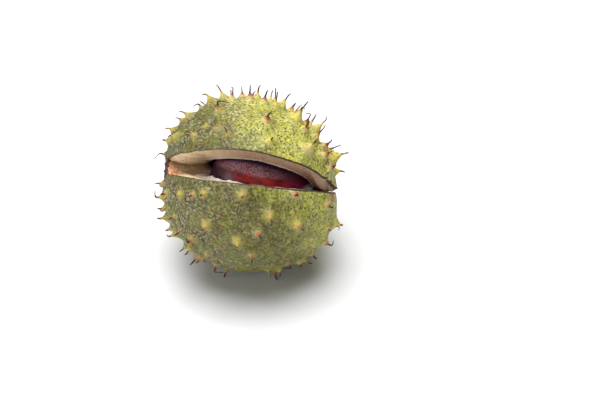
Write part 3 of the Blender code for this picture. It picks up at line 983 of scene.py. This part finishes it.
# The lower valve, in front and underneath. At the apex end its cut face is torn up a
# little inwards, and the white lining stands up along the rim of the hollow.
FACE_TILT = 1.7 * MM
RIM_RISE = 0.45 * MM
LIP_HEIGHT, LIP_LUMPS = 1.45 * MM, 2.0
LIP_MEAN, LIP_WAVE, LIP_LEAST = 0.75, 0.5, 0.4
TILT_DEPTH, LIP_DEPTH = 2.5, 1.0
TILTED_WALL, TILTED_RIM, TILTED_RIGHT = (0.05, 0.6), (0.35, 0.0), (-12, -23)
LIP_FROM, LIP_UP_TO, LIP_GROWS, LIP_WALL = (-19.5, -16.5), (-0.5, -6), (-8, -13), (0.0, 0.13)
LIP_START_RIGHT, LIP_START_WALL = (-17, -14), (0.66, 0.80)
LINED_SHARE = 0.2
FRONT_ONLY = (0, 2 * MM)
lower_planes = (
    (-seam_normal(LOWER_TURN, LOWER_LIFT), -LOWER_RISE),
    (seam_normal(-VALVE_ARC), half_gap),
)
lower_valve = grown_valve("lower_valve", lower_planes, 11)


def raise_lip(mesh):
    """Tilt the front face at the apex end and stand the lining up along the hollow."""
    co, wall, edge = points_of(mesh)
    from_front = (co - np.array(ball_middle)) @ np.array(lower_planes[0][0]) + LOWER_RISE
    depth = np.maximum(from_front, 0) / MM
    x = co[:, 0] / MM
    tilt = FACE_TILT * within(wall, *TILTED_WALL) + RIM_RISE * within(wall, *TILTED_RIM)
    tilt *= within(x, *TILTED_RIGHT) * np.exp(-(depth / TILT_DEPTH) ** 2)
    wavy = LIP_MEAN + LIP_WAVE * lumps(co / MM, LIP_LUMPS, 31)
    wavy *= LIP_LEAST + (1 - LIP_LEAST) * within(x, *LIP_GROWS)
    inner = np.interp(x, LIP_START_RIGHT, LIP_START_WALL)
    strip = within(x, *LIP_FROM) * within(x, *LIP_UP_TO) * within(wall - inner, *LIP_WALL)
    lip = LIP_HEIGHT * wavy * strip * np.exp(-(depth / LIP_DEPTH) ** 2)
    front = within(-co[:, 1], *FRONT_ONLY)
    co += np.array(seam_normal(0)) * ((tilt + lip) * front)[:, None]
    put_points(mesh, co)
    wall = np.where(lip * front > LINED_SHARE * LIP_HEIGHT, np.float32(IN_LINING), wall)
    mesh.attributes["wall"].data.foreach_set("value", wall)


raise_lip(lower_valve.data)
lower_valve.data.materials.append(husk)


# The back valve, behind and underneath: its tip shows in the open end of the split, with
# torn fibres at its outer edge and a cushion of white lining beside the seed.
CUSHION_PLACE = Vector((-17.0, 1.8, 3.8)) * MM
CUSHION_HEIGHT, CUSHION_RADIUS, CUSHION_WALL = 3.0 * MM, 2.8, (0.8, 1.1)
TEAR_HEIGHT = 0.9 * MM
SHRED_LUMPS, FINE_SHREDS, FINE_SHARE, CURL_LUMPS = 0.9, 0.45, 0.6, 1.8
TORN_EDGE, TORN_OUTER, TORN_INNER, TORN_REACH = (1.0, 0.3), (0.01, 0.1), (0.75, 0.4), (12, 5)
CURLED_EDGE, CURLED_WALL, CURLED_REACH = (1.6, 0.2), (0.16, 0.02), (13, 5)
RAGGED_EDGE, RAGGED_WALL, RAGGED_REACH = (2.2, 0.3), (0.25, 0.05), (12, 6)
RAGGED_DEPTH, RAGGED_LUMPS = 1.5 * MM, 1.3
back_planes = (
    (seam_normal(VALVE_ARC), half_gap),
    (-seam_normal(-VALVE_ARC), half_gap),
)
back_valve = grown_valve("back_valve", back_planes, 23)


def tear_tip(mesh):
    """Ragged flesh where the apex tore open, and the lining's cushion in the hollow."""
    co, wall, edge = points_of(mesh)
    from_apex = np.linalg.norm(co - np.array(ball_middle + apex * BALL_RADIUS), axis=1) / MM
    face = within(edge, *TORN_EDGE) * within(wall, *TORN_OUTER) * within(wall, *TORN_INNER)
    shreds = np.abs(lumps(co / MM, SHRED_LUMPS, 41))
    shreds += FINE_SHARE * np.abs(lumps(co / MM, FINE_SHREDS, 42))
    tear = TEAR_HEIGHT * shreds * face * within(from_apex, *TORN_REACH)
    curl = within(edge, *CURLED_EDGE) * within(wall, *CURLED_WALL)
    curl = curl * within(from_apex, *CURLED_REACH)
    tear += TEAR_HEIGHT * curl * lumps(co / MM, CURL_LUMPS, 43)
    co += -np.array(seam_normal(VALVE_ARC)) * tear[:, None]
    hollow_middle = ball_middle - apex * HOLLOW_SHIFT
    cushion = np.array(hollow_middle + CUSHION_PLACE)
    inward = np.array(hollow_middle) - co
    inward /= np.linalg.norm(inward, axis=1)[:, None]
    away = np.linalg.norm(co - cushion, axis=1) / MM
    swell = CUSHION_HEIGHT * np.exp(-(away / CUSHION_RADIUS) ** 2)
    co += inward * (swell * within(wall, *CUSHION_WALL))[:, None]
    outward = (co - np.array(ball_middle)) / BALL_RADIUS
    ragged = within(edge, *RAGGED_EDGE) * within(wall, *RAGGED_WALL)
    ragged = ragged * within(from_apex, *RAGGED_REACH)
    co += outward * (RAGGED_DEPTH * ragged * lumps(co / MM, RAGGED_LUMPS, 44))[:, None]
    put_points(mesh, co)


tear_tip(back_valve.data)
back_valve.data.materials.append(husk)


# The seed: a hard, glossy, dark red-brown shell, a little uneven, with the pale scar at
# the stalk end where it was fed. It lies loose in the hollow.
SEED_ACROSS = 18.4 * MM
SEED_ALONG = 17.1 * MM
SEED_CROWN = 1.2 * MM
SEED_SHIFT = Vector((0.3, 0, 0.8)) * MM
SEED_LEAST, SEED_LUMPS, SEED_WAVES = 0.985, 0.035, 1.3
LUMPS_FROM = Vector((4, 1, 2))
SCAR_RADIUS = 6.8 * MM
SCAR_PLACE = Vector((15.5, -8.5, 1.5)) * MM
# Where the painted highlight lies, and its length and width.
PAINTED_HIGHLIGHT_PLACE = Vector((-1.2, -8.6, 15.2)) * MM
PAINTED_HIGHLIGHT_ALONG = Vector((0.98, -0.13, -0.15)) / (14 * MM)
PAINTED_HIGHLIGHT_ACROSS = Vector((0.20, 0.63, 0.75)) / (2.3 * MM)
SHELL_RED = (0.47, 0.020, 0.014)
SHELL_DARK = (0.050, 0.008, 0.012)
SHELL_PURPLE = (0.40, 0.026, 0.140)
# Colours of painted shade on the shell.
SHELL_PLUM_PAINTED_SHADE = (0.11, 0.020, 0.050)
SHELL_PAINTED_SHADE = (0.040, 0.010, 0.042)
SHELL_PAINTED_HIGHLIGHT = (0.58, 0.35, 0.44)
SCAR_GREY = (0.93, 0.93, 0.98)
bm = bmesh.new()
bmesh.ops.create_icosphere(bm, subdivisions=7, radius=1)
for v in bm.verts:
    v.co *= SEED_LEAST + SEED_LUMPS * noise.noise(v.co * SEED_WAVES + LUMPS_FROM)
bmesh.ops.scale(bm, vec=(SEED_ACROSS, SEED_ACROSS, SEED_ALONG), verts=bm.verts[:])
bmesh.ops.rotate(bm, matrix=husk_turn, verts=bm.verts[:])
for v in bm.verts:
    v.co.z += SEED_CROWN * max(v.co.z / SEED_ACROSS, 0) ** 2
bmesh.ops.translate(bm, vec=seed_middle + SEED_SHIFT, verts=bm.verts[:])
seed_mesh = bpy.data.meshes.new("seed_shell")
bm.to_mesh(seed_mesh)
bm.free()
seed_mesh.shade_smooth()
seed = bpy.data.objects.new("seed_shell", seed_mesh)
bpy.context.scene.collection.objects.link(seed)
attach(seed, "root")
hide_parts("seed")

# The shell: red with dark streaks that run along it, purple towards the scar, painted shade that
# makes it nearly black towards the tip and the top, and a grainy painted highlight in a band
# along its crown.
shell = bpy.data.materials.new("seed_shell")
shell.use_nodes = True
tree = shell.node_tree
surface = tree.nodes["Principled BSDF"]
place = tree.nodes.new("ShaderNodeTexCoord").outputs["Object"]
across = add(tree, "ShaderNodeSeparateXYZ", {"Vector": place}).outputs["X"]
streaks = add(tree, "ShaderNodeTexNoise", {
    "Vector": place, "Scale": 90, "Detail": 5.0, "Roughness": 0.6, "Distortion": 1.6,
}).outputs["Fac"]
colour = mixed(tree, ranged(tree, streaks, 0.38, 0.70, 0.0, 0.6), SHELL_RED, SHELL_DARK)
colour = mixed(tree, ranged(tree, across, 0.008, 0.016), colour, SHELL_PURPLE)
from_painted_highlight = vectors(tree, "SUBTRACT", place, seed_middle + PAINTED_HIGHLIGHT_PLACE)
onward = vectors(tree, "DOT_PRODUCT", from_painted_highlight, PAINTED_HIGHLIGHT_ALONG, "Value")
above = vectors(tree, "DOT_PRODUCT", from_painted_highlight, PAINTED_HIGHLIGHT_ACROSS, "Value")
squares = maths(tree, "ADD", both(tree, onward, onward), both(tree, above, above))
painted_highlight = ranged(tree, squares, 1.0, 0.1)
flow = add(tree, "ShaderNodeCombineXYZ", {0: both(tree, onward, 4.0), 1: both(tree, above, 3.0)})
lines = add(tree, "ShaderNodeTexNoise", {
    "Vector": flow.outputs["Vector"], "Scale": 1.0, "Detail": 3.0, "Distortion": 0.6,
}).outputs["Fac"]
colour = mixed(tree, ranged(tree, lines, 0.50, 0.64, 0.0, 0.75), colour, SHELL_DARK)
# Painted shade: nearly black towards the tip, plum and then nearly black above the highlight band
# towards the top.
colour = mixed(tree, ranged(tree, across, 0.0, -0.0110, 0.0, 0.94), colour, SHELL_PAINTED_SHADE)
colour = mixed(tree, ranged(tree, above, -0.9, 0.1, 0.0, 0.85), colour, SHELL_PLUM_PAINTED_SHADE)
colour = mixed(tree, ranged(tree, above, 0.25, 0.85, 0.0, 0.97), colour, SHELL_PAINTED_SHADE)
# A grainy painted highlight, purple-grey, in a band along the crown.
highlight_grain = ranged(tree, clouds_at(tree, place, 2000, 0.50, 0.10), 0.0, 1.0, 0.2, 1.0)
colour = mixed(tree, both(tree, both(tree, painted_highlight, highlight_grain), 0.8), colour, SHELL_PAINTED_HIGHLIGHT)
scar = near_place(tree, place, seed_middle + SCAR_PLACE, SCAR_RADIUS, 0.12)
colour = mixed(tree, scar, colour, SCAR_GREY)
tree.links.new(colour, surface.inputs["Base Color"])
surface.inputs["Roughness"].default_value = 0.33
relief = add(tree, "ShaderNodeTexNoise", {"Vector": place, "Scale": 1600, "Detail": 2.0})
bump = add(tree, "ShaderNodeBump", {
    "Height": relief.outputs["Fac"], "Strength": 0.25, "Distance": 0.0001,
})
tree.links.new(bump.outputs["Normal"], surface.inputs["Normal"])
seed_mesh.materials.append(shell)
